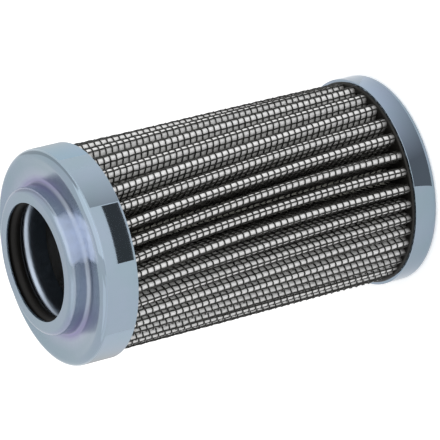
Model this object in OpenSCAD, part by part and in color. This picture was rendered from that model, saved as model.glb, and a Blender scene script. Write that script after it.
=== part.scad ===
// Hydraulic filter element: a pleated pack on a perforated core tube, potted between two drawn
// steel end caps. It stands on its closed cap, with +Z along its axis towards the open end.

/* [Length] */
// Height of the closed cap's rim
closed_rim_h = 5.9; // [4.5:0.1:12]
// Length of pleats that shows between the two rims
free_l = 70; // [30:1:160]
// Height of the open cap's rim, up to the top of its flange
open_rim_h = 8.5; // [6:0.1:16]

/* [End caps] */
// Outside diameter of the closed cap
closed_cap_d = 47; // [46:0.1:54]
// How much larger the open cap is than the closed cap, on the radius
cap_step = 0.25; // [0.1:0.05:1]
// Thickness of the sheet that both caps are drawn from
sheet_t = 0.6; // [0.5:0.05:0.7]
// Outside radius of the bend between each cap's flat and its rim
cap_bend_r = 1.5; // [0.9:0.1:2.2]
// How far the open cap's flange drops from its rim to the foot of the collar
flange_dish = 1; // [0:0.1:1.2]
// Diameter of the hole in the collar's lip
lip_bore_d = 26; // [25.6:0.1:27.4]
// Outside radius of the bend between the collar's wall and its lip
collar_bend_r = 1.2; // [0.9:0.05:1.35]
// Radius of the hollow bend between the flange and the collar's wall
collar_root_r = 1; // [0.4:0.1:1.5]

/* [Seal] */
// Inside diameter of the seal ring
seal_bore_d = 24.8; // [24.2:0.1:25]
// Section of the seal ring
seal_section = 3; // [2.6:0.1:3.4]
// Room beside the seal ring inside the collar's wall
seal_side_gap = 0.2; // [0.1:0.05:0.7]
// Room above the seal ring under the collar's lip
seal_end_gap = 0.4; // [0.2:0.05:0.8]

/* [Guide sleeve] */
// Bore of the sleeve that guides the spigot
guide_bore_d = 25.2; // [24.9:0.1:26]
// Wall of the sleeve
guide_t = 0.6; // [0.4:0.05:0.8]
// Outside radius of the bend that rounds the sleeve's entry
guide_bend_r = 1.8; // [1.2:0.1:2.4]
// Length of the sleeve below the flange
guide_l = 5.5; // [3:0.1:12]

/* [Core tube] */
// Wall of the core tube
core_t = 0.5; // [0.4:0.05:0.7]
// Diameter of the holes in the core tube
core_hole_d = 4.5; // [2:0.1:6]
// Distance from one row of holes to the next
core_row_pitch = 6.8; // [6.3:0.1:12]
// Number of holes in each row
core_row_holes = 10; // [6:2:12]

/* [Pleated pack] */
// Number of pleats
pleat_count = 36; // [24:1:38]
// Distance from one wire of the outer cloth to the next
wire_pitch = 1.6; // [1.3:0.05:2.5]
// Width of a lengthwise wire, which is a ridge on the outer cloth
wire_w = 0.34; // [0.2:0.02:0.5]
// How far these ridges stand out from the cloth's wall
wire_h = 0.2; // [0.1:0.02:0.24]
// Thickness of the outer cloth's wall between its ridges
outer_mesh_t = 0.2; // [0.12:0.02:0.24]
// Thickness of the cover fleece
cover_fleece_t = 0.08; // [0.05:0.01:0.1]
// Thickness of the coarse glass fibre layer
coarse_fibre_t = 0.15; // [0.1:0.01:0.18]
// Thickness of the fine glass fibre layer
fine_fibre_t = 0.15; // [0.1:0.01:0.18]
// Thickness of the drainage fleece
drain_fleece_t = 0.08; // [0.05:0.01:0.1]
// Thickness of the inner wire cloth
inner_mesh_t = 0.2; // [0.15:0.01:0.24]
// Gap that stays between the two leaves inside each outer fold
crest_gap = 0.22; // [0.1:0.02:0.6]
// Gap that stays between two neighbouring leaves at the bottom of each valley
valley_gap = 0.12; // [0.06:0.02:0.3]
// How far up its valley the side seam's adhesive reaches, as a share of the pleat's depth
seam_fill = 0.45; // [0.2:0.05:0.8]

/* [Adhesive] */
// Depth of the adhesive in the open cap, below its flange
open_pot_h = 4.2; // [2:0.1:5.2]
// How far the adhesive in the closed cap stands above the rim
pot_rise = 0.4; // [0:0.1:1]
// Adhesive between the pack's upper end and the sheet above it
end_film = 0.3; // [0.1:0.05:0.8]

/* [Clearances] */
// Play between the pleats' crests and the closed cap's rim
crest_play = 0.1; // [0.02:0.01:0.3]
// Play of the guide sleeve in the core tube, and of its flange in the collar
sleeve_play = 0.05; // [0.02:0.01:0.2]
// Play between the core tube and the pleats' inner folds
core_play = 0.05; // [0.02:0.01:0.2]
// Play between the seal ring and its seat on the guide sleeve
seal_play = 0.05; // [0.02:0.01:0.15]

/* [Hidden] */
$fn = 96;
// Straight steps in which an outer fold, a valley and a sheet's bend are drawn
crest_steps = 6;
valley_steps = 3;
bend_steps = 8;

closed_cap_r = closed_cap_d / 2;
open_cap_r = closed_cap_r + cap_step;
closed_bore_r = closed_cap_r - sheet_t;
open_bore_r = open_cap_r - sheet_t;
flange_z = closed_rim_h + free_l + open_rim_h;
guide_z = flange_z - sheet_t;
open_rim_z = flange_z - open_rim_h;

seal_ring_r = (seal_bore_d + seal_section) / 2;
collar_bore_r = seal_ring_r + seal_section / 2 + seal_side_gap;
collar_r = collar_bore_r + sheet_t;
collar_h = seal_section + seal_play + seal_end_gap;
top_z = flange_z + collar_h;
lip_bore_r = lip_bore_d / 2;

guide_bore_r = guide_bore_d / 2;
guide_r = guide_bore_r + guide_t;
guide_flange_r = collar_bore_r - sleeve_play;
guide_flange_z = guide_z - guide_t;
guide_end_z = guide_z - guide_l;

// Centres of the bends at both edges of the open cap's flange, and the slope that its face takes
// from the top of one to the bottom of the other
rim_bend_c = [open_cap_r - cap_bend_r, flange_z - cap_bend_r];
root_bend_c = [collar_r + collar_root_r, flange_z - flange_dish + collar_root_r];
bend_step = rim_bend_c - root_bend_c;
flange_a = atan2(bend_step.y, bend_step.x) + asin((cap_bend_r + collar_root_r) / norm(bend_step));
flange_up = polar(1, 90 + flange_a);

core_bore_r = guide_r + sleeve_play;
core_r = core_bore_r + core_t;

pack_t = wire_h + outer_mesh_t + cover_fleece_t + coarse_fibre_t + fine_fibre_t + drain_fleece_t + inner_mesh_t;
// The core tube and the pack stand clear of the caps' bends, in the adhesive
foot_z = cap_bend_r;
core_top_z = guide_flange_z - guide_bend_r + guide_t;
core_l = core_top_z - foot_z;
pack_l = min(guide_flange_z, flange_z - cap_bend_r, flange_z - flange_dish - sheet_t) - end_film - foot_z;
crest_r = closed_bore_r - crest_play;
valley_r = core_r + core_play;
pot_z = closed_rim_h + pot_rise;
open_pot_z = guide_z - open_pot_h;

// The leaf's middle line folds round circles of these radii, which stand on two pitch circles
crest_fold_r = (crest_gap + pack_t) / 2;
valley_fold_r = (valley_gap + pack_t) / 2;
crest_pitch_r = crest_r - crest_fold_r - pack_t / 2;
valley_pitch_r = valley_r + valley_fold_r + pack_t / 2;
half_pitch_a = 180 / pleat_count;
// From a crest's circle to the next valley's, and the angle at which a straight flank leaves both
fold_step = polar(valley_pitch_r, half_pitch_a) - [crest_pitch_r, 0];
flank_a = atan2(fold_step.y, fold_step.x) - acos((crest_fold_r + valley_fold_r) / norm(fold_step));
// The side seam lies in the valley nearest the back, at +Y
seam_valley = round(pleat_count / 4 - 0.5);

// How far outside the leaf's middle line each layer's outer face lies
wire_top_o = pack_t / 2;
outer_mesh_o = wire_top_o - wire_h;
cover_fleece_o = outer_mesh_o - outer_mesh_t;
coarse_fibre_o = cover_fleece_o - cover_fleece_t;
fine_fibre_o = coarse_fibre_o - coarse_fibre_t;
drain_fleece_o = fine_fibre_o - fine_fibre_t;
inner_mesh_o = drain_fleece_o - drain_fleece_t;

// Length of a straight flank, and of an outer fold from its top to a flank along the cloth's wall
flank_l = sqrt(pow(norm(fold_step), 2) - pow(crest_fold_r + valley_fold_r, 2));
fold_arc_r = crest_fold_r + outer_mesh_o;
half_fold_l = fold_arc_r * flank_a * PI / 180;
// Lengthwise wires on each side of the one that runs along a fold's top
wires_each_side = floor((half_fold_l + flank_l - wire_w / 2) / wire_pitch);

function polar(r, a) = r * [cos(a), sin(a)];

// Points of an arc about c, from angle a0 to a1
function arc(c, r, a0, a1, steps) = [for (i = [0:steps]) c + polar(r, a0 + (a1 - a0) * i / steps)];

// The folds of one pleat, for a line that lies o outside the leaf's middle line
function crest_arc(turn, o) =
    arc(polar(crest_pitch_r, turn), crest_fold_r + o, turn - flank_a, turn + flank_a, crest_steps);
function valley_arc(turn, o) =
    arc(polar(valley_pitch_r, turn + half_pitch_a), valley_fold_r - o,
        turn + flank_a + 180, turn + 2 * half_pitch_a + 180 - flank_a, valley_steps);
function leaf_line(o) = [
    for (k = [0:pleat_count - 1]) each concat(crest_arc(2 * k * half_pitch_a, o), valley_arc(2 * k * half_pitch_a, o))
];

// The point on the outer cloth's wall at s along the leaf from a fold's top, and h above the wall
function cloth_point(turn, s, h) =
    let (side = sign(s), over = abs(s) - half_fold_l, a = over < 0 ? s / fold_arc_r * 180 / PI : side * flank_a)
    polar(crest_pitch_r, turn) + polar(fold_arc_r + h, turn + a) + max(over, 0) * polar(1, turn + a + side * 90);

// The ridge of one lengthwise wire, with its middle at s
function wire_ridge(turn, s) = [
    cloth_point(turn, s - wire_w / 2, 0), cloth_point(turn, s - wire_w / 4, wire_h),
    cloth_point(turn, s + wire_w / 4, wire_h), cloth_point(turn, s + wire_w / 2, 0)
];

// Points of the wall between the ridge at s and the next, where it bends round a fold
function bend_points(turn, s) = [
    for (share = [0.25, 0.5, 0.75])
        let (point_s = s + wire_w / 2 + (wire_pitch - wire_w) * share)
        if (abs(point_s) < half_fold_l) cloth_point(turn, point_s, 0)
];

// The outer cloth's face with its ridges
function ridged_line() = [
    for (k = [0:pleat_count - 1], i = [-wires_each_side:wires_each_side])
        let (turn = 2 * k * half_pitch_a, s = i * wire_pitch)
        each concat(
            wire_ridge(turn, s),
            i < wires_each_side ? bend_points(turn, s) : valley_arc(turn, outer_mesh_o)
        )
];

// A line round the outside of all wires, which touches each fold's circle and stays outside it
function seat_line() =
    let (r = crest_fold_r + wire_top_o, half_step = flank_a / crest_steps, end_a = flank_a - half_step)
    [
        for (k = [0:pleat_count - 1]) let (turn = 2 * k * half_pitch_a) each concat(
            arc(polar(crest_pitch_r, turn), r / cos(half_step), turn - end_a, turn + end_a, crest_steps - 1),
            valley_arc(turn, wire_top_o)
        )
    ];

// The first child without the second, drawn up along the pack
module pack_wall() {
    translate([0, 0, foot_z])
        linear_extrude(pack_l)
            difference() {
                children(0);
                children(1);
            }
}

// One pleated layer from its outer face, o outside the middle line, to t further in
module pleated_layer(o, t) {
    pack_wall() {
        polygon(leaf_line(o));
        polygon(leaf_line(o - t));
    }
}

// The space that the whole pack fills, for cutting its seats in the adhesive
module pack_space() {
    pack_wall() {
        polygon(seat_line());
        polygon(leaf_line(wire_top_o - pack_t));
    }
}

module open_end_cap() {
    collar_c = [collar_r - collar_bend_r, top_z - collar_bend_r];
    color("lightsteelblue")
        rotate_extrude()
            polygon(concat(
                [[lip_bore_r, top_z - sheet_t], [lip_bore_r, top_z]],
                arc(collar_c, collar_bend_r, 90, 0, bend_steps),
                arc(root_bend_c, collar_root_r, 180, 270 + flange_a, bend_steps),
                arc(rim_bend_c, cap_bend_r, 90 + flange_a, 0, bend_steps),
                [[open_cap_r, open_rim_z], [open_bore_r, open_rim_z]],
                arc(rim_bend_c, cap_bend_r - sheet_t, 0, 90 + flange_a, bend_steps),
                arc(root_bend_c, collar_root_r + sheet_t, 270 + flange_a, 180, bend_steps),
                arc(collar_c, collar_bend_r - sheet_t, 0, 90, bend_steps)
            ));
}

module closed_end_cap() {
    bend_c = [closed_cap_r - cap_bend_r, cap_bend_r];
    color("lightsteelblue")
        rotate_extrude()
            polygon(concat(
                [[0, 0]],
                arc(bend_c, cap_bend_r, -90, 0, bend_steps),
                [[closed_cap_r, closed_rim_h], [closed_bore_r, closed_rim_h]],
                arc(bend_c, cap_bend_r - sheet_t, 0, -90, bend_steps),
                [[0, sheet_t]]
            ));
}

module seal_ring() {
    color("black")
        translate([0, 0, guide_z + seal_play + seal_section / 2])
            rotate_extrude()
                translate([seal_ring_r, 0])
                    circle(d = seal_section);
}

module guide_sleeve() {
    bend_c = [guide_bore_r + guide_bend_r, guide_z - guide_bend_r];
    color("silver")
        rotate_extrude()
            polygon(concat(
                [[guide_r, guide_end_z], [guide_bore_r, guide_end_z]],
                arc(bend_c, guide_bend_r, 180, 90, bend_steps),
                [[guide_flange_r, guide_z], [guide_flange_r, guide_flange_z]],
                arc(bend_c, guide_bend_r - guide_t, 90, 180, bend_steps)
            ));
}

// The core tube before its holes are punched
module core_wall() {
    translate([0, 0, foot_z])
        difference() {
            cylinder(h = core_l, r = core_r);
            cylinder(h = core_l, r = core_bore_r);
        }
}

module core_tube() {
    holes_l = guide_end_z - pot_z - core_hole_d - 2 * core_t;
    rows = floor(holes_l / core_row_pitch) + 1;
    first_z = (guide_end_z + pot_z - (rows - 1) * core_row_pitch) / 2;
    hole_a = 360 / core_row_holes;
    color("dimgray")
        difference() {
            core_wall();
            for (row = [0:rows - 1], i = [0:core_row_holes - 1])
                translate([0, 0, first_z + row * core_row_pitch])
                    rotate([0, 90, (i + (row % 2) / 2) * hole_a])
                        translate([0, 0, core_bore_r - core_t])
                            cylinder(h = 3 * core_t, d = core_hole_d);
        }
}

module outer_wire_cloth() {
    color("darkslategray")
        pack_wall() {
            polygon(ridged_line());
            polygon(leaf_line(cover_fleece_o));
        }
}

module cover_fleece() {
    color("whitesmoke") pleated_layer(cover_fleece_o, cover_fleece_t);
}

module coarse_fibre_layer() {
    color("white") pleated_layer(coarse_fibre_o, coarse_fibre_t);
}

module fine_fibre_layer() {
    color("ivory") pleated_layer(fine_fibre_o, fine_fibre_t);
}

module drainage_fleece() {
    color("whitesmoke") pleated_layer(drain_fleece_o, drain_fleece_t);
}

module inner_wire_cloth() {
    color("darkslategray") pleated_layer(inner_mesh_o, inner_mesh_t);
}

// A bead of adhesive that fills the bottom of one valley and joins the pack's two ends
module side_seam() {
    turn = 2 * seam_valley * half_pitch_a;
    left = crest_arc(turn, wire_top_o);
    right = crest_arc(turn + 2 * half_pitch_a, wire_top_o);
    bottom = valley_arc(turn, wire_top_o);
    first = bottom[0];
    last = bottom[valley_steps];
    color("saddlebrown")
        translate([0, 0, pot_z])
            linear_extrude(open_pot_z - pot_z)
                polygon(concat(
                    bottom,
                    [last + (right[0] - last) * seam_fill, first + (left[crest_steps] - first) * seam_fill]
                ));
}

module open_end_adhesive() {
    root_out_r = collar_root_r + sheet_t;
    // Where the root bend's underside comes down to the underside of the sleeve's flange
    root_end_a = 180 + asin(min(1, (root_bend_c.y - guide_flange_z) / root_out_r));
    color("saddlebrown")
        difference() {
            rotate_extrude()
                polygon(concat(
                    [[core_r, open_pot_z], [open_bore_r, open_pot_z]],
                    arc(rim_bend_c, cap_bend_r - sheet_t, 0, 90 + flange_a, bend_steps),
                    arc(root_bend_c, root_out_r, 270 + flange_a, root_end_a, bend_steps),
                    [
                        [guide_flange_r, guide_flange_z], [guide_bore_r + guide_bend_r, guide_flange_z],
                        [core_r, core_top_z]
                    ]
                ));
            pack_space();
        }
}

module closed_end_adhesive() {
    bend_c = [closed_cap_r - cap_bend_r, cap_bend_r];
    color("saddlebrown")
        difference() {
            rotate_extrude()
                polygon(concat(
                    [[0, sheet_t]],
                    arc(bend_c, cap_bend_r - sheet_t, -90, 0, bend_steps),
                    [[closed_bore_r, pot_z], [0, pot_z]]
                ));
            pack_space();
            core_wall();
        }
}

open_end_cap();
closed_end_cap();
seal_ring();
guide_sleeve();
core_tube();
outer_wire_cloth();
cover_fleece();
coarse_fibre_layer();
fine_fibre_layer();
drainage_fleece();
inner_wire_cloth();
side_seam();
open_end_adhesive();
closed_end_adhesive();
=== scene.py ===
"""Looks of a pleated hydraulic filter element: drawn caps, a woven wire pack and a sealed collar."""
import math

import bpy
import numpy as np
from mathutils import Matrix, Vector


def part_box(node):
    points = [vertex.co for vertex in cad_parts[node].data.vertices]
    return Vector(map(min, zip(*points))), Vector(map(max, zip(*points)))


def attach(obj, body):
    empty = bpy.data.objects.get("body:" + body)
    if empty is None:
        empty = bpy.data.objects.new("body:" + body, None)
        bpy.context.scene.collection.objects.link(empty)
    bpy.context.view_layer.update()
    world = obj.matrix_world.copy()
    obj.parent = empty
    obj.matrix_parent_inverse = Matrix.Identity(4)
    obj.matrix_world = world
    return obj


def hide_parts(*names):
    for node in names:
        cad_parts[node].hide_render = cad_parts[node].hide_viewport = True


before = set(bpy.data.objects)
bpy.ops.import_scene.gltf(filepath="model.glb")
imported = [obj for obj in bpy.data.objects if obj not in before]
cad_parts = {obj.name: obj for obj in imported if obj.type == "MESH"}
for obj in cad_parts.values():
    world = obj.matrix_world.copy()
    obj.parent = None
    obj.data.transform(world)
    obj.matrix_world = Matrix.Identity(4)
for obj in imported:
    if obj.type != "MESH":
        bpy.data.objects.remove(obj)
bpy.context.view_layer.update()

MM = 0.001

# Sizes read from the solids, in millimetres
def top_z(node):
    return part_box(node)[1][2] / MM


def foot_z(node):
    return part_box(node)[0][2] / MM


def radius(node):
    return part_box(node)[1][0] / MM


CLOSED_CAP_R = radius("closed_end_cap")
CLOSED_RIM_Z = top_z("closed_end_cap")
OPEN_CAP_R = radius("open_end_cap")
OPEN_RIM_Z = foot_z("open_end_cap")
COLLAR_TOP_Z = top_z("open_end_cap")
SLEEVE_TOP_Z = top_z("guide_sleeve")
SLEEVE_FOOT_Z = foot_z("guide_sleeve")
SLEEVE_FLANGE_R = radius("guide_sleeve")
SEAL_SECTION_R = (top_z("seal_ring") - foot_z("seal_ring")) / 2
SEAL_R = radius("seal_ring") - SEAL_SECTION_R
SEAL_Z = foot_z("seal_ring") + SEAL_SECTION_R
PACK_FOOT_Z = foot_z("outer_wire_cloth")
PACK_TOP_Z = top_z("outer_wire_cloth")
CREST_R = radius("outer_wire_cloth")
OPEN_POT_Z = foot_z("open_end_adhesive")
CLOSED_POT_Z = top_z("closed_end_adhesive")

# Sizes of the sheet metal
SHEET_T = 0.6
SHEET_EDGE = 0.12
CAP_BEND_R = 1.5
COLLAR_R = 16.2
COLLAR_BEND_R = 1.2
COLLAR_ROOT_R = 1.0
LIP_BORE_R = 13.0
FLANGE_Z = SLEEVE_TOP_Z + SHEET_T
FLANGE_DISH = 1.0
FLANGE_FOOT_Z = FLANGE_Z - FLANGE_DISH
ROOT_C = (COLLAR_R + COLLAR_ROOT_R, FLANGE_FOOT_Z + COLLAR_ROOT_R)
RIM_C = (OPEN_CAP_R - CAP_BEND_R, FLANGE_Z - CAP_BEND_R)
SLEEVE_T = 0.6
SLEEVE_BORE_R = 12.6
SLEEVE_BEND_R = 1.8
ADHESIVE_BEAD_R = 0.45

# Steps in which the round pieces are drawn
BEND_STEPS = 10
LATHE_STEPS = 288
RING_STEPS = 32
BEAD_STEPS = 5

# The pleated pack. The points of a hoop keep the first clearance from a valley's middle, and the lengthwise
# wires keep the second, which is counted in wires
PLEATS = 36
WIRE_PITCH = 1.5875
WIRE_D = 0.34
WIRE_SIDES = 5
WEAVE_H = 0.08
HOOP_CLEAR = 0.05
LENGTHWISE_CLEAR = 1.2
CLOTH_T = 0.4
FLEECE_T = 0.08
COARSE_T = 0.15
FINE_T = 0.15
DRAIN_T = 0.08
INNER_CLOTH_T = 0.2
CREST_FOLD_R = 0.97
VALLEY_FOLD_R = 0.26
VALLEY_PITCH_R = 14.92
LEAST_FOLD_R = 0.04

# Steps in which a pleat's fold, valley and flank are drawn, for the cover fleece and the seam, for the line
# that the wires follow and for the layers inside, and the rows of each layer from rim to rim
CREST_STEPS = 8
VALLEY_STEPS = 4
FLANK_STEPS = 5
WIRE_LINE_STEPS = {"crest_steps": 16, "valley_steps": 8, "flank_steps": 8}
INSIDE_STEPS = {"crest_steps": 5, "valley_steps": 3, "flank_steps": 2}
COVER_ROWS = 25
INSIDE_ROWS = 12
SEAM_ROWS = 25

# The side seam lies in the valley nearest this turn, which is the back
BACK_TURN = 90

# Where the cloth stands off a little, by turn and height, how far, and how far the lift reaches
LOOSE_SPOTS = ((-159, 62.3), (-158, 51.0))
LOOSE_LIFT = 0.6
LOOSE_REACH_DEG = 2.4
LOOSE_REACH_Z = 1.1

# How the crests run, in degrees round the axis: the one that faces the camera, how much more room
# the upper pleats have than the lower ones, and how far all of them lean from rim to rim
FRONT_TURN = 92.4
CROWDING = 15.6
LEAN = 11.7
LEAN_SPREAD = 0.22
WOBBLE = 0.35
# How much a leaning crest bows, and how much more near one pleat: which one, and over how many pleats
LEAN_BOW = 0.15
FRONT_BOW = 1.0
BOW_PLEAT = 1.5
BOW_REACH = 3


# Meshes

def new_object(name, mesh):
    obj = bpy.data.objects.new(name, mesh)
    bpy.context.scene.collection.objects.link(obj)
    return obj


def mesh_object(name, points, faces=(), edges=(), sharp_deg=None):
    """A mesh object from points in millimetres, shaded smooth up to the given edge angle."""
    mesh = bpy.data.meshes.new(name)
    mesh.from_pydata((np.asarray(points, float) * MM).tolist(), edges, faces)
    mesh.validate()
    if sharp_deg is not None:
        mesh.shade_smooth()
        mesh.set_sharp_from_angle(angle=math.radians(sharp_deg))
    return new_object(name, mesh)


def arc(centre, r, start, end, steps=BEND_STEPS):
    turns = np.radians(np.linspace(start, end, steps + 1))
    return [(centre[0] + r * math.cos(a), centre[1] + r * math.sin(a)) for a in turns]


def with_supports(outline, least=0.5, inset=0.03):
    """The outline with two more points in each long run, so that its shading stays flat up to its ends."""
    points = []
    for start, end in zip(outline, outline[1:] + outline[:1]):
        points.append(start)
        run = math.dist(start, end)
        if run > least:
            for share in (inset / run, 1 - inset / run):
                points.append(tuple(a + (b - a) * share for a, b in zip(start, end)))
    return points


def lathe(name, outline, steps=LATHE_STEPS, sharp_deg=35):
    """A closed outline of (radius, height) points, anticlockwise, turned about the axis."""
    outline = np.asarray(with_supports(outline), float)
    count = len(outline)
    on_axis = outline[:, 0] < 1e-6
    turns = np.linspace(0, 2 * math.pi, steps, endpoint=False)
    points, index = [], np.zeros((steps, count), int)
    for i, (r, z) in enumerate(outline):
        if on_axis[i]:
            index[:, i] = len(points)
            points.append((0, 0, z))
        else:
            index[:, i] = len(points) + np.arange(steps)
            points.extend((r * math.cos(a), r * math.sin(a), z) for a in turns)
    faces = []
    for i in range(count):
        j = (i + 1) % count
        if on_axis[i] and on_axis[j]:
            continue
        for s in range(steps):
            t = (s + 1) % steps
            corners = [index[s, i], index[t, i], index[t, j], index[s, j]]
            faces.append([int(c) for n, c in enumerate(corners) if c != corners[n - 1]])
    return mesh_object(name, points, faces, sharp_deg=sharp_deg)


# The run of the pleats

def share_down(z):
    """0 at the open rim and 1 at the closed rim."""
    return (OPEN_RIM_Z - z) / (OPEN_RIM_Z - CLOSED_RIM_Z)


def crest_turns(z):
    """Angles of all crests at a height, in degrees, in falling order."""
    k = np.arange(PLEATS) - PLEATS // 2
    s = share_down(z)
    step = 360 / PLEATS
    around = np.radians(step * k)
    turn = FRONT_TURN + step * k - CROWDING * (1 - np.cos(around))
    bow = LEAN_BOW + FRONT_BOW * np.exp(-((k - BOW_PLEAT) / BOW_REACH) ** 2)
    turn -= LEAN * (1 - LEAN_SPREAD * np.sin(around)) * (s + bow * s * (1 - s))
    turn += WOBBLE * np.sin(2.1 * k + 5.3 * s + 1.7) * np.sin(1.3 * k + 2.9 * s)
    return -turn


def polar(r, deg):
    a = np.radians(deg)
    return np.stack([r * np.cos(a), r * np.sin(a)], -1)


def tangent_turn(crest, crest_r, valley, valley_r, side):
    """Direction in which the flank faces, where it touches both folds' circles."""
    step = valley - crest
    reach = np.hypot(step[:, 0], step[:, 1])
    towards_valley = np.degrees(np.arctan2(step[:, 1], step[:, 0]))
    return towards_valley - side * np.degrees(np.arccos((crest_r + valley_r) / reach))


def swept(centre, r, start, end, steps):
    """Arcs about several centres: an array of centres by points by two."""
    f = np.linspace(0, 1, steps + 1)
    turns = start[:, None] + (end - start)[:, None] * f
    return centre[:, None] + polar(r[:, None], turns)


def near_turn(turn, wanted):
    """The same direction, as the angle within half a turn of the wanted one."""
    return wanted + (turn - wanted + 180) % 360 - 180


def leaf_lines(z, depth, crest_steps=CREST_STEPS, valley_steps=VALLEY_STEPS, flank_steps=FLANK_STEPS):
    """Lines of all pleats at a height, depth inside the wire cloth's middle, each from valley to valley."""
    crest_a = crest_turns(z)
    after = np.roll(crest_a, -1)
    after[-1] -= 360
    valley_a = (crest_a + after) / 2
    before = np.roll(valley_a, 1)
    before[0] += 360
    room = before - valley_a
    crest_r = CREST_FOLD_R * room * PLEATS / 360
    crest = polar(CREST_R - CLOTH_T / 2 - crest_r, crest_a)
    inside = COARSE_T + FINE_T + DRAIN_T + INNER_CLOTH_T + FLEECE_T + CLOTH_T / 2
    squeeze = np.minimum(1, (crest_r - LEAST_FOLD_R) / inside)
    fold_r = crest_r - depth * squeeze
    bottom_r = VALLEY_FOLD_R + depth * squeeze
    left, right = polar(VALLEY_PITCH_R, before), polar(VALLEY_PITCH_R, valley_a)
    # The angles fall from one pleat to the next, so the first valley lies at the larger angle
    face_left = tangent_turn(crest, fold_r, left, bottom_r, 1)
    face_right = tangent_turn(crest, fold_r, right, bottom_r, -1)
    face_left = near_turn(face_left, crest_a + 90)
    face_right = near_turn(face_right, crest_a - 90)
    first = swept(left, bottom_r, before + 180, near_turn(face_left - 180, before + 180), valley_steps)
    fold = swept(crest, fold_r, face_left, face_right, crest_steps)
    last = swept(right, bottom_r, near_turn(face_right + 180, valley_a + 180), valley_a + 180, valley_steps)
    f = np.linspace(0, 1, flank_steps + 1)[1:-1, None]
    up = first[:, -1:] + (fold[:, :1] - first[:, -1:]) * f
    down = fold[:, -1:] + (last[:, :1] - fold[:, -1:]) * f
    return np.concatenate([first, up, fold, down, last], axis=1)


def lengths(lines):
    """How far along its line each point lies, measured from the crest's middle."""
    steps = np.hypot(*np.moveaxis(np.diff(lines, axis=1), -1, 0))
    along = np.concatenate([np.zeros((len(lines), 1)), np.cumsum(steps, axis=1)], axis=1)
    return along - along[:, -1:] / 2


def wire_shift(pleat, z):
    """How far the lengthwise wires lie off their even places on a pleat, as a share of the pitch."""
    return 0.3 * math.sin(1.9 * pleat + 0.7) + 0.25 * share_down(z) * math.cos(2.3 * pleat)


def pleated_shell(name, outer, inner, rows, sharp_deg=60, **steps):
    """A pleated layer between two depths, closed at both ends.

    Its UV is the place on the wire cloth, in wires, and its attribute tells how deep in a valley it lies."""
    heights = np.linspace(PACK_FOOT_Z, PACK_TOP_Z, rows)
    rings, cloth, down = [], [], []
    for depth in (outer, inner):
        for z in heights:
            lines = leaf_lines(z, depth, **steps)
            # The last point of each line is the first of the next
            rings.append(lines[:, :-1].reshape(-1, 2))
            shifts = np.array([wire_shift(pleat, z) for pleat in range(PLEATS)])
            across = (lengths(lines)[:, :-1] / WIRE_PITCH - shifts[:, None]).reshape(-1)
            down_rows = (PACK_TOP_Z - WIRE_D / 2 - z) / WIRE_PITCH
            cloth.append(np.stack([across, np.full(len(across), down_rows)], -1))
            down.append((CREST_R - np.hypot(*rings[-1].T)) / (CREST_R - VALLEY_PITCH_R))
    around = len(rings[0])
    z_all = np.tile(heights, 2)
    points = np.concatenate([np.column_stack([ring, np.full(around, z)]) for ring, z in zip(rings, z_all)])
    faces = []
    following = (np.arange(around) + 1) % around
    here = np.arange(around)
    for row in range(rows - 1):
        a, b = row * around, (row + 1) * around
        faces += np.stack([a + following, a + here, b + here, b + following], -1).tolist()
        a, b = a + rows * around, b + rows * around
        faces += np.stack([a + here, a + following, b + following, b + here], -1).tolist()
    for row, turned in ((0, False), (rows - 1, True)):
        a, b = row * around, (row + rows) * around
        rim = np.stack([a + here, a + following, b + following, b + here], -1)
        faces += (rim[:, ::-1] if turned else rim).tolist()
    obj = mesh_object(name, points, faces, sharp_deg=sharp_deg)
    mesh = obj.data
    corner = np.zeros(len(mesh.loops), int)
    mesh.loops.foreach_get("vertex_index", corner)
    uv = mesh.uv_layers.new(name="cloth")
    uv.data.foreach_set("uv", np.concatenate(cloth)[corner].ravel())
    store = mesh.attributes.new("valley", "FLOAT", "POINT")
    store.data.foreach_set("value", np.clip(np.concatenate(down), 0, 1))
    return obj


# Materials

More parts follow.
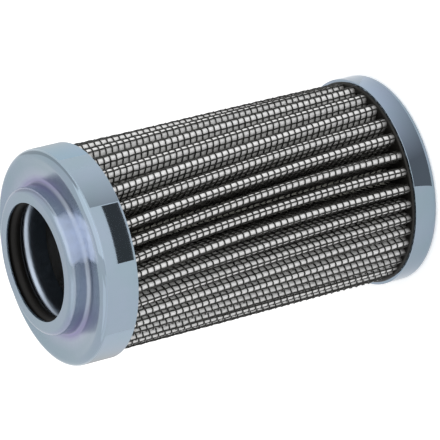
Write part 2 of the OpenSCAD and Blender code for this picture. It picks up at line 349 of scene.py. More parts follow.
class Shader:
    """A node tree, with short ways to add and join nodes."""

    def __init__(self, owner):
        owner.use_nodes = True
        self.owner = owner
        self.tree = owner.node_tree
        self.surface = self.tree.nodes.get("Principled BSDF")

    def node(self, kind, **settings):
        made = self.tree.nodes.new(kind)
        for key, value in settings.items():
            setattr(made, key, value)
        return made

    def put(self, socket, value):
        if isinstance(value, bpy.types.NodeSocket):
            self.tree.links.new(value, socket)
        elif value is not None:
            socket.default_value = value

    def set(self, **values):
        for key, value in values.items():
            self.put(self.surface.inputs[key.replace("_", " ")], value)

    def math(self, operation, a, b=None, c=None):
        made = self.node("ShaderNodeMath", operation=operation)
        for socket, value in zip(made.inputs, (a, b, c)):
            self.put(socket, value)
        return made.outputs[0]

    def place(self):
        return self.node("ShaderNodeTexCoord").outputs["Object"]

    def split(self, vector):
        made = self.node("ShaderNodeSeparateXYZ")
        self.put(made.inputs[0], vector)
        return made.outputs

    def join(self, x, y, z):
        made = self.node("ShaderNodeCombineXYZ")
        for socket, value in zip(made.inputs, (x, y, z)):
            self.put(socket, value)
        return made.outputs[0]

    def noise(self, vector, scale, detail=2.0, rough=0.5):
        made = self.node("ShaderNodeTexNoise")
        self.put(made.inputs["Vector"], vector)
        self.put(made.inputs["Scale"], scale)
        self.put(made.inputs["Detail"], detail)
        self.put(made.inputs["Roughness"], rough)
        return made.outputs[0]

    def spread(self, value, low, high, to_low=0.0, to_high=1.0):
        made = self.node("ShaderNodeMapRange", clamp=True)
        for socket, given in zip(made.inputs[:5], (value, low, high, to_low, to_high)):
            self.put(socket, given)
        return made.outputs[0]

    def blend(self, share, a, b):
        made = self.node("ShaderNodeMix", data_type="RGBA")
        self.put(made.inputs[0], share)
        for socket, value in zip(made.inputs[6:8], (a, b)):
            self.put(socket, value if isinstance(value, bpy.types.NodeSocket) else (*value, 1))
        return made.outputs[2]

    def bump(self, height, distance, strength=1.0, before=None):
        made = self.node("ShaderNodeBump")
        self.put(made.inputs["Height"], height)
        self.put(made.inputs["Distance"], distance)
        self.put(made.inputs["Strength"], strength)
        self.put(made.inputs["Normal"], before)
        return made.outputs[0]

    def product(self, first, *others):
        for other in others:
            first = self.math("MULTIPLY", first, other)
        return first

    def attribute(self, name):
        return self.node("ShaderNodeAttribute", attribute_name=name).outputs["Fac"]

    def band(self, value, centre, half):
        """1 at the centre, falling to 0 at half its width to either side."""
        off = self.math("ABSOLUTE", self.math("SUBTRACT", value, centre))
        return self.spread(off, 0.0, half, 1.0, 0.0)


def material_shader(name):
    return Shader(bpy.data.materials.new(name))


def axis_places(sh):
    """Object place, radius and height in metres, and the turn about the axis."""
    place = sh.place()
    x, y, z = sh.split(place)
    r = sh.math("SQRT", sh.math("ADD", sh.product(x, x), sh.product(y, y)))
    return place, r, z, sh.math("ARCTAN2", y, x)


# Colours of the zinc plate: two each of the plain sheet and of where it was drawn hardest, then the painted
# shade in the hollow at the collar's foot, the painted highlight patch and the violet of the passivation
PLAIN_ZINC = ((0.28, 0.36, 0.42), (0.30, 0.362, 0.445))
DRAWN_ZINC = ((0.34, 0.385, 0.47), (0.39, 0.435, 0.53))
HOLLOW_SHADE_ZINC = (0.25, 0.28, 0.34)
PAINTED_HIGHLIGHT_ZINC = (0.52, 0.60, 0.76)
VIOLET_ZINC = (0.27, 0.25, 0.44)

# Radii over which the drawn zone fades on the flange, and the middle of the collar's hollow, the half width
# of the painted shade there and half the gap that the hollow leaves in the drawn zone
DRAWN_FADE_R = (17.6, 20.5)
HOLLOW_R = ROOT_C[0] - 0.35
HOLLOW_SHADE_HALF = 0.8
DRAWN_GAP_HALF = 0.75

# The painted highlight patch, where the sheet is also rougher: the turns over which it fades at both edges,
# how much the upper edge slants for each millimetre outwards, how ragged both are, and the radii over which
# it fades on the flange's bend
HIGHLIGHT_UPPER = (-60, -53)
HIGHLIGHT_LOWER = (-95, -91)
HIGHLIGHT_SLANT = 2
HIGHLIGHT_RAGGED = 0.16
HIGHLIGHT_FADE_R = (22.2, 23.2)
HIGHLIGHT_ROUGHNESS = 0.4

# The die ironed both rims smooth: the share of the sheet's roughness that is left there
IRONED = 0.12


def drawn_zone(sh, r, z, above, foot):
    """1 on the collar's wall and the flange's inner half, less in the hollow between them."""
    flange = sh.spread(r, DRAWN_FADE_R[0] * MM, DRAWN_FADE_R[1] * MM, 1.0, 0.0)
    wall = sh.spread(z, (COLLAR_TOP_Z - 1.5 * COLLAR_BEND_R) * MM, (COLLAR_TOP_Z - 0.5) * MM, 1.0, 0.0)
    return sh.product(flange, foot, above, wall)


def painted_highlight_patch(sh, place, r, z, turn, above):
    """1 in a patch of painted highlight on collar and flange on the side that faces the camera, mottled, with
    ragged edges.
    """
    ragged = sh.math("MULTIPLY_ADD", sh.noise(place, 700, 3), HIGHLIGHT_RAGGED, turn)
    slant = math.radians(HIGHLIGHT_SLANT) / MM
    slanted = sh.math("MULTIPLY_ADD", sh.math("SUBTRACT", r, COLLAR_R * MM), slant, ragged)
    upper = sh.spread(slanted, math.radians(HIGHLIGHT_UPPER[0]), math.radians(HIGHLIGHT_UPPER[1]), 1.0, 0.0)
    lower = sh.spread(ragged, math.radians(HIGHLIGHT_LOWER[0]), math.radians(HIGHLIGHT_LOWER[1]))
    mottle = sh.spread(sh.noise(place, 480, 4, 0.6), 0.3, 0.7, 0.55, 1.0)
    bend = sh.spread(r, HIGHLIGHT_FADE_R[0] * MM, HIGHLIGHT_FADE_R[1] * MM, 1.0, 0.0)
    lip = sh.spread(z, (COLLAR_TOP_Z - 0.9) * MM, (COLLAR_TOP_Z - 0.3) * MM, 1.0, 0.0)
    return sh.product(upper, lower, mottle, bend, above, lip)


def violet_sides(sh, place, r, turn, above):
    """Up to 1 in the collar's hollow at two sides, in patches."""
    side = sh.spread(sh.math("ABSOLUTE", sh.math("COSINE", turn)), 0.66, 0.98)
    root = sh.band(r, (COLLAR_R + 0.6) * MM, 1.7 * MM)
    patchy = sh.spread(sh.noise(place, 160, 2), 0.3, 0.65, 0.6, 1.0)
    return sh.product(root, above, patchy, side)


def bright_zinc():
    sh = material_shader("zinc_plated_sheet")
    place, r, z, turn = axis_places(sh)
    above = sh.spread(z, (FLANGE_FOOT_Z - 0.3) * MM, FLANGE_FOOT_Z * MM)
    foot = sh.math("SUBTRACT", 1.0, sh.band(r, HOLLOW_R * MM, DRAWN_GAP_HALF * MM))
    highlight = painted_highlight_patch(sh, place, r, z, turn, above)
    base = sh.blend(sh.spread(sh.noise(place, 90, 3, 0.55), 0.35, 0.65), *PLAIN_ZINC)
    streaks = sh.join(sh.product(turn, 0.05), 0.0, sh.product(z, 0.3))
    bright = sh.blend(sh.spread(sh.noise(streaks, 400, 4, 0.6), 0.3, 0.7), *DRAWN_ZINC)
    base = sh.blend(drawn_zone(sh, r, z, above, foot), base, bright)
    # Painted shade: a darker band in the hollow at the collar's foot
    base = sh.blend(sh.product(sh.band(r, HOLLOW_R * MM, HOLLOW_SHADE_HALF * MM), above), base, HOLLOW_SHADE_ZINC)
    # Painted highlight: a lighter mottled patch on the side that faces the camera, where a lamp's reflection
    # would fall
    base = sh.blend(highlight, base, PAINTED_HIGHLIGHT_ZINC)
    base = sh.blend(violet_sides(sh, place, r, turn, above), base, VIOLET_ZINC)
    sh.set(Base_Color=base, Metallic=1.0, Anisotropic=0.8, Anisotropic_Rotation=0.25)
    sh.set(Tangent=sh.node("ShaderNodeTangent", direction_type="RADIAL", axis="Z").outputs[0])
    ironed = sh.spread(r, (CLOSED_CAP_R - 1.0) * MM, (CLOSED_CAP_R - 0.3) * MM, 1.0, IRONED)
    smooth = sh.product(ironed, sh.spread(sh.noise(place, 900, 4, 0.6), 0.3, 0.7, 0.20, 0.27))
    sh.set(Roughness=sh.math("MULTIPLY_ADD", highlight, HIGHLIGHT_ROUGHNESS, smooth))
    grain = sh.spread(ironed, IRONED, 1.0, 0.0, 0.2)
    wavy = sh.bump(sh.noise(place, 350, 3, 0.6), 0.00002, grain)
    sh.set(Normal=sh.bump(sh.noise(place, 1500, 3), 0.00001, grain, before=wavy))
    return sh.owner


def polished_steel():
    sh = material_shader("guide_steel")
    _, _, z, turn = axis_places(sh)
    drawn = sh.noise(sh.join(sh.product(turn, 0.02), 0.0, z), 600, 3)
    bend_z = SLEEVE_TOP_Z - SLEEVE_BEND_R
    bend = sh.spread(z, (bend_z - 0.9) * MM, (bend_z + 0.3) * MM)
    bore = sh.blend(drawn, (0.28, 0.34, 0.42), (0.33, 0.4, 0.48))
    # Painted highlight: the rolled edge is given a lighter steel than the bore
    sh.set(Base_Color=sh.blend(bend, bore, (0.40, 0.46, 0.54)), Metallic=1.0)
    sh.set(Roughness=sh.spread(drawn, 0.3, 0.7, 0.30, 0.38))
    return sh.owner


def dull_steel():
    sh = material_shader("core_steel")
    place = sh.place()
    cloud = sh.noise(place, 250, 4, 0.6)
    sh.set(Base_Color=sh.blend(cloud, (0.2, 0.205, 0.21), (0.36, 0.365, 0.37)), Metallic=0.9)
    sh.set(Roughness=sh.spread(cloud, 0.3, 0.7, 0.25, 0.4))
    return sh.owner


def black_rubber():
    sh = material_shader("seal_rubber")
    place = sh.place()
    fine = sh.noise(place, 1800, 3)
    sh.set(Base_Color=sh.blend(sh.noise(place, 200), (0.004, 0.004, 0.004), (0.008, 0.007, 0.006)))
    sh.set(Roughness=sh.spread(fine, 0.3, 0.7, 0.45, 0.55), Specular_IOR_Level=0.2)
    sh.set(Normal=sh.bump(fine, 0.00001, 0.3))
    return sh.owner


def coated_wire():
    sh = material_shader("coated_wire")
    place = sh.place()
    cloud = sh.noise(place, 400, 3)
    sh.set(Base_Color=sh.blend(cloud, (0.012, 0.012, 0.012), (0.028, 0.027, 0.022)))
    sh.set(Roughness=sh.spread(cloud, 0.3, 0.7, 0.32, 0.5), Specular_IOR_Level=0.35)
    sh.set(Normal=sh.bump(sh.noise(place, 3000, 2), 0.00001, 0.4))
    return sh.owner


def pillow(sh):
    """Height of a layer that puffs up in each opening of the wire cloth."""
    uv = sh.node("ShaderNodeUVMap", uv_map="cloth").outputs[0]
    u, v, _ = sh.split(uv)
    return sh.product(*(sh.math("ABSOLUTE", sh.math("SINE", sh.product(w, math.pi))) for w in (u, v)))


def white_fleece():
    sh = material_shader("cover_fleece_white")
    place = sh.place()
    z = sh.split(place)[2]
    fibre = sh.noise(place, 2500, 5, 0.7)
    cloud = sh.noise(place, 120, 2)
    base = sh.blend(fibre, (0.70, 0.70, 0.69), (0.82, 0.82, 0.82))
    base = sh.blend(sh.spread(cloud, 0.3, 0.7, 0.0, 0.15), base, (0.6, 0.6, 0.62))
    # Painted shade: the fleece darkens deeper in the valleys, where the pleats shade each other
    valley_shade = sh.spread(sh.attribute("valley"), 0.15, 1.0)
    base = sh.blend(valley_shade, base, (0.62, 0.62, 0.56))
    # The closed end's adhesive has crept up into the fleece
    edge_z = sh.math("ADD", z, sh.product(sh.noise(place, 700, 3), -1.2 * MM))
    crept = sh.spread(edge_z, (CLOSED_RIM_Z - 0.3) * MM, (CLOSED_RIM_Z + 1.6) * MM, 1.0, 0.0)
    base = sh.blend(crept, base, (0.03, 0.027, 0.024))
    puff = pillow(sh)
    # Painted shade: darker at the edges of each opening, where the layer dips under the wires
    base = sh.blend(sh.spread(puff, 0.0, 0.35, 0.35, 0.0), base, (0.2, 0.2, 0.19))
    sh.set(Base_Color=base, Roughness=0.92, Specular_IOR_Level=0.2)
    soft = sh.bump(puff, 0.00012, 0.8)
    sh.set(Normal=sh.bump(fibre, 0.00003, 0.5, before=soft))
    return sh.owner


def plain_fibre(name, low, high):
    sh = material_shader(name)
    fibre = sh.noise(sh.place(), 2200, 5, 0.7)
    sh.set(Base_Color=sh.blend(fibre, low, high), Roughness=0.95, Specular_IOR_Level=0.15)
    sh.set(Normal=sh.bump(fibre, 0.00004, 0.6))
    return sh.owner


def dark_adhesive():
    sh = material_shader("potting")
    place = sh.place()
    cloud = sh.noise(place, 300, 3)
    sh.set(Base_Color=sh.blend(cloud, (0.006, 0.006, 0.005), (0.014, 0.013, 0.011)))
    sh.set(Roughness=sh.spread(cloud, 0.3, 0.7, 0.4, 0.6), Specular_IOR_Level=0.3)
    sh.set(Normal=sh.bump(sh.noise(place, 700, 3), 0.00005, 0.5))
    return sh.owner


ZINC = bright_zinc()
GUIDE_STEEL = polished_steel()
CORE_STEEL = dull_steel()
RUBBER = black_rubber()
WIRE = coated_wire()
FLEECE = white_fleece()
COARSE_FIBRE = plain_fibre("coarse_fibre", (0.74, 0.74, 0.72), (0.84, 0.84, 0.83))
FINE_FIBRE = plain_fibre("fine_fibre", (0.78, 0.77, 0.72), (0.86, 0.85, 0.81))
DRAIN_FLEECE = plain_fibre("drainage_fleece_white", (0.7, 0.7, 0.7), (0.8, 0.8, 0.8))
ADHESIVE = dark_adhesive()


def fit_piece(obj, material, slot, *nodes):
    """Gives a piece its material and its body, and hides the solids that it stands for; the slot is not used.
    """
    obj.data.materials.clear()
    obj.data.materials.append(material)
    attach(obj, "root")
    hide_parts(*nodes)


# Metal, rubber and adhesive pieces

def flange_tilt():
    """How far the dished flange is tilted, where it touches the bends at its foot and its rim, in degrees."""
    run, rise = RIM_C[0] - ROOT_C[0], RIM_C[1] - ROOT_C[1]
    reach = math.hypot(run, rise)
    return math.degrees(math.atan2(rise, run) + math.asin((CAP_BEND_R + COLLAR_ROOT_R) / reach))


def eased_corner(r, z, in_r, in_z):
    """Three points that ease a cut corner of the sheet, which lies towards in_r and in_z, each 1 or -1."""
    middle = 0.3 * SHEET_EDGE
    return [(r, z + in_z * SHEET_EDGE), (r + in_r * middle, z + in_z * middle), (r + in_r * SHEET_EDGE, z)]


def open_end_cap():
    collar = (COLLAR_R - COLLAR_BEND_R, COLLAR_TOP_Z - COLLAR_BEND_R)
    tilt = flange_tilt()
    outline = [(LIP_BORE_R, COLLAR_TOP_Z - SHEET_T + SHEET_EDGE)]
    outline += eased_corner(LIP_BORE_R, COLLAR_TOP_Z, 1, -1)
    outline += arc(collar, COLLAR_BEND_R, 90, 0)
    outline += arc(ROOT_C, COLLAR_ROOT_R, 180, 270 + tilt)
    outline += arc(RIM_C, CAP_BEND_R, 90 + tilt, 0)
    outline += eased_corner(OPEN_CAP_R, OPEN_RIM_Z, -1, 1) + [(OPEN_CAP_R - SHEET_T, OPEN_RIM_Z)]
    outline += arc(RIM_C, CAP_BEND_R - SHEET_T, 0, 90 + tilt)
    outline += arc(ROOT_C, COLLAR_ROOT_R + SHEET_T, 270 + tilt, 180)
    outline += arc(collar, COLLAR_BEND_R - SHEET_T, 0, 90)
    outline += [(LIP_BORE_R + SHEET_EDGE, COLLAR_TOP_Z - SHEET_T)]
    fit_piece(lathe("open_cap_shell", outline[::-1]), ZINC, "zinc_plated_sheet", "open_end_cap")


def closed_end_cap():
    bend = (CLOSED_CAP_R - CAP_BEND_R, CAP_BEND_R)
    outline = [(0, 0)] + arc(bend, CAP_BEND_R, -90, 0)
    outline += eased_corner(CLOSED_CAP_R, CLOSED_RIM_Z, -1, -1) + [(CLOSED_CAP_R - SHEET_T, CLOSED_RIM_Z)]
    outline += arc(bend, CAP_BEND_R - SHEET_T, 0, -90) + [(0, SHEET_T)]
    fit_piece(lathe("closed_cap_shell", outline), ZINC, "zinc_plated_sheet", "closed_end_cap")


def seal_ring():
    outline = arc((SEAL_R, SEAL_Z), SEAL_SECTION_R, 0, 360, RING_STEPS)[:-1]
    fit_piece(lathe("seal_ring_round", outline), RUBBER, "seal_rubber", "seal_ring")


def guide_sleeve():
    bend = (SLEEVE_BORE_R + SLEEVE_BEND_R, SLEEVE_TOP_Z - SLEEVE_BEND_R)
    outline = [(SLEEVE_BORE_R + SLEEVE_T, SLEEVE_FOOT_Z), (SLEEVE_BORE_R, SLEEVE_FOOT_Z)]
    outline += arc(bend, SLEEVE_BEND_R, 180, 90)
    outline += [(SLEEVE_FLANGE_R, SLEEVE_TOP_Z), (SLEEVE_FLANGE_R, SLEEVE_TOP_Z - SLEEVE_T)]
    outline += arc(bend, SLEEVE_BEND_R - SLEEVE_T, 90, 180)
    fit_piece(lathe("guide_sleeve_bright", outline[::-1]), GUIDE_STEEL, "guide_steel", "guide_sleeve")


def closed_end_adhesive():
    bore_r = CLOSED_CAP_R - SHEET_T
    bend = (CLOSED_CAP_R - CAP_BEND_R, CAP_BEND_R)
    outline = [(0, SHEET_T)] + arc(bend, CAP_BEND_R - SHEET_T, -90, 0)
    outline += [(bore_r, CLOSED_RIM_Z)]
    outline += arc((bore_r - ADHESIVE_BEAD_R, CLOSED_RIM_Z), ADHESIVE_BEAD_R, 0, 90, BEAD_STEPS)[1:]
    outline += [(0, CLOSED_POT_Z)]
    fit_piece(lathe("closed_end_potting", outline), ADHESIVE, "potting", "closed_end_adhesive")


# The pleated pack

def paths_object(name, paths, closed):
    """Loose edges along each path, for the wires to follow."""
    edges, start = [], 0
    for path in paths:
        count = len(path)
        ends = count if closed else count - 1
        edges += [(start + i, start + (i + 1) % count) for i in range(ends)]
        start += count
    return mesh_object(name, np.concatenate(paths), edges=edges)


def wire_tree():
    """Draws a round wire along each path."""
    tree = bpy.data.node_groups.new("wires_along_paths", "GeometryNodeTree")
    face = tree.interface
    face.new_socket("Paths", in_out="INPUT", socket_type="NodeSocketGeometry")
    face.new_socket("Wire diameter", in_out="INPUT", socket_type="NodeSocketFloat")
    face.new_socket("Sides", in_out="INPUT", socket_type="NodeSocketInt")
    face.new_socket("Material", in_out="INPUT", socket_type="NodeSocketMaterial")
    face.new_socket("Wires", in_out="OUTPUT", socket_type="NodeSocketGeometry")
    nodes, links = tree.nodes, tree.links
    given = nodes.new("NodeGroupInput")
    made = nodes.new("NodeGroupOutput")
    to_curve = nodes.new("GeometryNodeMeshToCurve")
    section = nodes.new("GeometryNodeCurvePrimitiveCircle")
    half = nodes.new("ShaderNodeMath")
    half.operation = "MULTIPLY"
    half.inputs[1].default_value = 0.5
    sweep = nodes.new("GeometryNodeCurveToMesh")
    sweep.inputs["Fill Caps"].default_value = True
    smooth = nodes.new("GeometryNodeSetShadeSmooth")
    realize = nodes.new("GeometryNodeRealizeInstances")
    finish = nodes.new("GeometryNodeSetMaterial")
    links.new(given.outputs["Paths"], to_curve.inputs["Mesh"])
    links.new(given.outputs["Wire diameter"], half.inputs[0])
    links.new(half.outputs[0], section.inputs["Radius"])
    links.new(given.outputs["Sides"], section.inputs["Resolution"])
    links.new(to_curve.outputs["Curve"], sweep.inputs["Curve"])
    links.new(section.outputs["Curve"], sweep.inputs["Profile Curve"])
    links.new(sweep.outputs["Mesh"], smooth.inputs["Geometry"])
    links.new(smooth.outputs["Geometry"], realize.inputs["Geometry"])
    links.new(realize.outputs["Geometry"], finish.inputs["Geometry"])
    links.new(given.outputs["Material"], finish.inputs["Material"])
    links.new(finish.outputs["Geometry"], made.inputs["Wires"])
    return tree


WIRE_TREE = wire_tree()


def wires(name, paths, closed):
    """Wires along paths, as a plain mesh."""
    obj = paths_object(name + "_paths", paths, closed)
    modifier = obj.modifiers.new("wires", "NODES")
    modifier.node_group = WIRE_TREE
    inputs = [item for item in WIRE_TREE.interface.items_tree if item.in_out == "INPUT"]
    sockets = {item.name: item.identifier for item in inputs}
    modifier[sockets["Wire diameter"]] = WIRE_D * MM
    modifier[sockets["Sides"]] = WIRE_SIDES
    modifier[sockets["Material"]] = WIRE
    evaluated = obj.evaluated_get(bpy.context.evaluated_depsgraph_get())
    mesh = bpy.data.meshes.new_from_object(evaluated)
    mesh.name = name
    bpy.data.objects.remove(obj)
    return new_object(name, mesh)


class Leaf:
    """The wire cloth's middle line at one height, to place wires by their distance from each crest."""

    def __init__(self, z):
        self.z = z
        self.lines = leaf_lines(z, 0.0, **WIRE_LINE_STEPS)
        self.along = lengths(self.lines)

    def on_line(self, pleat, along):
        line, place = self.lines[pleat], self.along[pleat]
        return np.stack([np.interp(along, place, line[:, i]) for i in (0, 1)], -1)

    def at(self, pleat, along, lift):
        """Points of one pleat, lifted outwards off the middle line."""
        step = 0.15
        run = self.on_line(pleat, along + step) - self.on_line(pleat, along - step)
        out = np.stack([-run[:, 1], run[:, 0]], -1) / np.hypot(run[:, 0], run[:, 1])[:, None]
        point = self.on_line(pleat, along) + out * np.asarray(lift)[:, None]
        return np.column_stack([point, np.full(len(point), self.z)])

    def reach(self, pleat):
        return self.along[pleat][-1]


def loosened(path):
    """The path with the cloth lifted at its two loose spots, each given by its turn and height."""
    path = np.array(path)
    r, turn = np.hypot(path[:, 0], path[:, 1]), np.degrees(np.arctan2(path[:, 1], path[:, 0]))
    for spot_turn, spot_z in LOOSE_SPOTS:
        off = ((turn - spot_turn) / LOOSE_REACH_DEG) ** 2 + ((path[:, 2] - spot_z) / LOOSE_REACH_Z) ** 2
        path[:, :2] *= (1 + LOOSE_LIFT * np.exp(-off) / r)[:, None]
    return path


def outer_wire_cloth():
    rows = np.arange(int((PACK_TOP_Z - PACK_FOOT_Z - WIRE_D) / WIRE_PITCH) + 1)
    heights = PACK_TOP_Z - WIRE_D / 2 - rows * WIRE_PITCH
    leaves = [Leaf(z) for z in heights]
    hoops = []
    for row, leaf in zip(rows, leaves):
        hoop = []
        for pleat in range(PLEATS):
            reach = leaf.reach(pleat)
            shift = wire_shift(pleat, leaf.z) * WIRE_PITCH
            places = np.arange(-reach + HOOP_CLEAR, reach - HOOP_CLEAR, WIRE_PITCH / 2)
            weave = np.cos(math.pi * ((places - shift) / WIRE_PITCH + row))
            hoop.append(leaf.at(pleat, places, WEAVE_H * weave))
        hoops.append(loosened(np.concatenate(hoop)))
    third = len(hoops) // 3 + 1
    for i, part in enumerate(("upper", "middle", "lower")):
        obj = wires(f"outer_cloth_hoops_{part}", hoops[i * third:(i + 1) * third], True)
        fit_piece(obj, WIRE, "coated_wire", "outer_wire_cloth")
    lengthwise = []
    for pleat in range(PLEATS):
        reach = min(leaf.reach(pleat) for leaf in leaves)
        last = int(reach / WIRE_PITCH - LENGTHWISE_CLEAR)
        for j in range(-last, last + 1):
            path = []
            for row, leaf in zip(rows, leaves):
                place = np.array([(j + wire_shift(pleat, leaf.z)) * WIRE_PITCH])
                lift = [-WEAVE_H * math.cos(math.pi * (j + row))]
                path.append(leaf.at(pleat, place, lift)[0])
            lengthwise.append(loosened(path))
    obj = wires("outer_cloth_length_wires", lengthwise, False)
    fit_piece(obj, WIRE, "coated_wire", "outer_wire_cloth")


def pleated_layers():
    depth = CLOTH_T / 2
    layers = (("cover_fleece_sheet", FLEECE_T, FLEECE, "white_fibre", "cover_fleece"),
              ("coarse_fibre_sheet", COARSE_T, COARSE_FIBRE, "white_fibre", "coarse_fibre_layer"),
              ("fine_fibre_sheet", FINE_T, FINE_FIBRE, "white_fibre", "fine_fibre_layer"),
              ("drainage_fleece_sheet", DRAIN_T, DRAIN_FLEECE, "white_fibre", "drainage_fleece"),
              ("inner_cloth_sheet", INNER_CLOTH_T, WIRE, "coated_wire", "inner_wire_cloth"))
    for name, thick, material, slot, node in layers:
        if node == "cover_fleece":
            obj = pleated_shell(name, depth, depth + thick, COVER_ROWS)
        else:
            obj = pleated_shell(name, depth, depth + thick, INSIDE_ROWS, **INSIDE_STEPS)
        fit_piece(obj, material, slot, node)
        depth += thick


def side_seam():
    """The bead of adhesive in the valley nearest the back."""
    flank_end = VALLEY_STEPS + FLANK_STEPS
    points, faces = [], []
    for z in np.linspace(CLOSED_POT_Z, OPEN_POT_Z, SEAM_ROWS):
        lines = leaf_lines(z, CLOTH_T / 2)
        valleys = [math.degrees(math.atan2(line[-1][1], line[-1][0])) for line in lines]
        pleat = int(np.argmin([abs(near_turn(valley, BACK_TURN) - BACK_TURN) for valley in valleys]))
        here, following = lines[pleat], lines[(pleat + 1) % PLEATS]
        # The last flank and valley of one pleat, and the first of the next
        around_valley = np.concatenate([here[flank_end + CREST_STEPS:], following[1:flank_end]])
        points += [(x, y, z) for x, y in around_valley]
    around = len(points) // SEAM_ROWS
    for row in range(SEAM_ROWS - 1):
        for i in range(around):
            j = (i + 1) % around
            a, b = row * around, (row + 1) * around
            faces.append((a + j, a + i, b + i, b + j))
    faces.append(tuple(range(around)))
    faces.append(tuple(range(len(points) - 1, len(points) - around - 1, -1)))
    fit_piece(mesh_object("side_seam_bead", points, faces, sharp_deg=50), ADHESIVE, "potting", "side_seam")


# Camera, lights and floor

CAMERA_AIM = Vector((-0.76, 0.0, 42.0)) * MM
CAMERA_DISTANCE = 0.771
CAMERA_ELEVATION = math.radians(28.03)
CAMERA_ROLL = math.radians(-104.0)
LENS = 288.2

# Soft lamps: where each stands, in metres, and its watts
LAMPS = (("front_light", (0.1, -1.0, 0.4), 2.6), ("top_light", (0.9, -0.3, 0.45), 2.2))
LAMP_SIZE = 0.6
LAMP_AIM = Vector((0, 0, 45)) * MM


def add_camera():
    data = bpy.data.cameras.new("camera")
    data.lens = LENS
    data.sensor_width = 36
    data.clip_start = 0.05
    data.clip_end = 20
    camera = bpy.data.objects.new("camera", data)
    bpy.context.scene.collection.objects.link(camera)
    turn = Matrix.Rotation(math.pi / 2 - CAMERA_ELEVATION, 4, "X") @ Matrix.Rotation(CAMERA_ROLL, 4, "Z")
    away = Vector((0, -math.cos(CAMERA_ELEVATION), math.sin(CAMERA_ELEVATION)))
    camera.matrix_world = Matrix.Translation(CAMERA_AIM + away * CAMERA_DISTANCE) @ turn
    bpy.context.scene.camera = camera


def add_lamp(name, place, watts):
    """A soft lamp that lights the part but doesn't show in its metal."""
    data = bpy.data.lights.new(name, "AREA")
    data.shape = "DISK"
    data.size = LAMP_SIZE
    data.energy = watts
    lamp = bpy.data.objects.new(name, data)
    bpy.context.scene.collection.objects.link(lamp)
    place = Vector(place)
    turn = (LAMP_AIM - place).to_track_quat("-Z", "Y").to_matrix().to_4x4()
    lamp.matrix_world = Matrix.Translation(place) @ turn
    lamp.visible_glossy = False


# Windows that the metal mirrors: from and to in degrees round the axis, from the camera's side towards
# +X, then from and to in degrees above the horizon, and how much brighter than the room each is
WINDOWS = ((-13, 62, -4, 24, 0.55),
           (-11, 76, 24, 68, 0.45),
           (-105, -45, 30, 64, 0.3),
           (-105, -30, -4, 24, 0.2),
           (66, 160, -4, 24, -0.3))
WINDOW_EDGE = 3.0
ROOM_LIGHT = 0.8

# Half the floor's side, and how much it glows for the camera and in the metal
FLOOR_HALF = 3000
FLOOR_SEEN = 0.4
FLOOR_MIRRORED = 0.25

# Cards that stand where the open cap's rim mirrors them: from and to in degrees from the camera's side
# towards +X, from and to in height, the light at the first turn and at the last, and the tint
WHITE = (1.0, 1.0, 1.0)
RIM_CARDS = (("rim_card", -11, 20, 61.4, 65.5, 0.09, 0.09, WHITE),
             ("side_card", 20.5, 46, 55.0, 72.0, 0.68, 1.2, WHITE),
             ("low_card", -52, -87, 50.0, 72.0, 1.2, 0.42, WHITE),
             ("upper_card", 56, 89, 50.0, 72.0, 1.2, 0.5, (0.88, 0.96, 1.0)))
CARD_AWAY = 30
CARD_STEPS = 12

# The card on the floor that the closed cap mirrors: its turns and radii, and its light from one X to another
FOOT_TURNS = (-12.5, 80)
FOOT_RADII = (24.5, 38)
FOOT_Z = 0.1
FOOT_X = (3, 36)
FOOT_LIGHT = (0.26, 1.5)
FOOT_TINT = (0.94, 0.95, 1.0)
FOOT_STEPS = 25


def add_world():
    world = bpy.data.worlds.new("studio")
    bpy.context.scene.world = world
    sh = Shader(world)
    back = sh.tree.nodes["Background"]
    sh.put(back.inputs["Color"], (1, 1, 1, 1))
    x, y, z = sh.split(sh.node("ShaderNodeTexCoord").outputs["Generated"])
    turn = sh.math("DEGREES", sh.math("ARCTAN2", x, sh.product(y, -1.0)))
    rise = sh.math("DEGREES", sh.math("ARCSINE", z))

    def between(value, low, high):
        up = sh.spread(value, low - WINDOW_EDGE / 2, low + WINDOW_EDGE / 2)
        down = sh.spread(value, high - WINDOW_EDGE / 2, high + WINDOW_EDGE / 2, 1.0, 0.0)
        return sh.product(up, down)

    glow = 0.0
    for left, right, low, high, gain in WINDOWS:
        window = sh.product(between(turn, left, right), between(rise, low, high))
        glow = sh.math("MULTIPLY_ADD", window, gain, glow)
    path = sh.node("ShaderNodeLightPath").outputs
    glossy = path["Is Glossy Ray"]
    clear = sh.math("MAXIMUM", path["Is Camera Ray"], path["Is Transmission Ray"])
    room = sh.spread(sh.math("MAXIMUM", clear, glossy), 0.0, 1.0, ROOM_LIGHT, 1.0)
    sh.put(back.inputs["Strength"], sh.math("MULTIPLY_ADD", glow, glossy, room))


def white_floor():
    sh = material_shader("studio_floor")
    grain = sh.noise(sh.place(), 40, 2)
    sh.set(Base_Color=sh.blend(grain, (0.93, 0.93, 0.93), (0.95, 0.95, 0.95)), Roughness=0.8)
    sh.set(Specular_IOR_Level=0.1)
    path = sh.node("ShaderNodeLightPath").outputs
    seen = sh.spread(path["Is Camera Ray"], 0.0, 1.0, 0.0, FLOOR_SEEN)
    mirrored = sh.spread(path["Is Glossy Ray"], 0.0, 1.0, 0.0, FLOOR_MIRRORED)
    sh.put(sh.surface.inputs["Emission Strength"], sh.math("ADD", seen, mirrored))
    sh.set(Emission_Color=(1, 1, 1, 1))
    return sh.owner


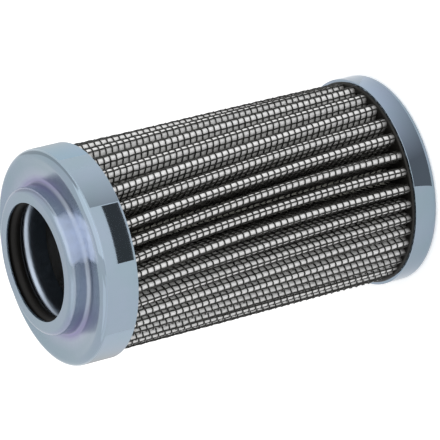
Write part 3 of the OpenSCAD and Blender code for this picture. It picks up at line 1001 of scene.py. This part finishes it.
def add_card(name, corners, from_x, to_x, from_light, to_light, tint):
    """A card that only the metal mirrors, darker or lighter along X, from the points of both long edges."""
    sh = material_shader(name)
    sh.set(Base_Color=(0.0, 0.0, 0.0, 1), Roughness=1.0, Specular_IOR_Level=0.0, Emission_Color=(*tint, 1))
    x = sh.split(sh.place())[0]
    sh.put(sh.surface.inputs["Emission Strength"], sh.spread(x, from_x * MM, to_x * MM, from_light, to_light))
    count = len(corners) // 2
    faces = [(i, i + 1, i + 1 + count, i + count) for i in range(count - 1)]
    card = mesh_object(name, corners, faces)
    card.data.materials.append(sh.owner)
    card.visible_camera = False
    card.visible_diffuse = False
    card.visible_transmission = False
    card.visible_shadow = False


def add_rim_card(name, from_turn, to_turn, low_z, high_z, from_light, to_light, tint):
    """A card that stands where the open cap's rim mirrors it."""
    turns = np.linspace(from_turn, to_turn, CARD_STEPS)
    line = [polar(OPEN_CAP_R, turn - 90) + polar(CARD_AWAY, 2 * turn - 90) for turn in turns]
    corners = [(x, y, low_z) for x, y in line] + [(x, y, high_z) for x, y in line]
    add_card(name, corners, line[0][0], line[-1][0], from_light, to_light, tint)


def add_foot_card():
    turns = np.linspace(*FOOT_TURNS, FOOT_STEPS)
    corners = [(*polar(r, turn - 90), FOOT_Z) for r in FOOT_RADII for turn in turns]
    add_card("foot_card", corners, *FOOT_X, *FOOT_LIGHT, FOOT_TINT)


def add_stage():
    corners = [(x, y, 0) for x, y in ((-1, -1), (1, -1), (1, 1), (-1, 1))]
    floor = mesh_object("floor", np.array(corners) * FLOOR_HALF, [(0, 1, 2, 3)])
    floor.data.materials.append(white_floor())
    for card in RIM_CARDS:
        add_rim_card(*card)
    add_foot_card()


open_end_cap()
closed_end_cap()
seal_ring()
guide_sleeve()
closed_end_adhesive()
outer_wire_cloth()
pleated_layers()
side_seam()

# These two solids are shown as they are
for node, material in (("core_tube", CORE_STEEL), ("open_end_adhesive", ADHESIVE)):
    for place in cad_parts[node].material_slots:
        place.material = material

add_camera()
add_world()
add_stage()
for lamp in LAMPS:
    add_lamp(*lamp)
bpy.context.scene.view_settings.view_transform = "Standard"
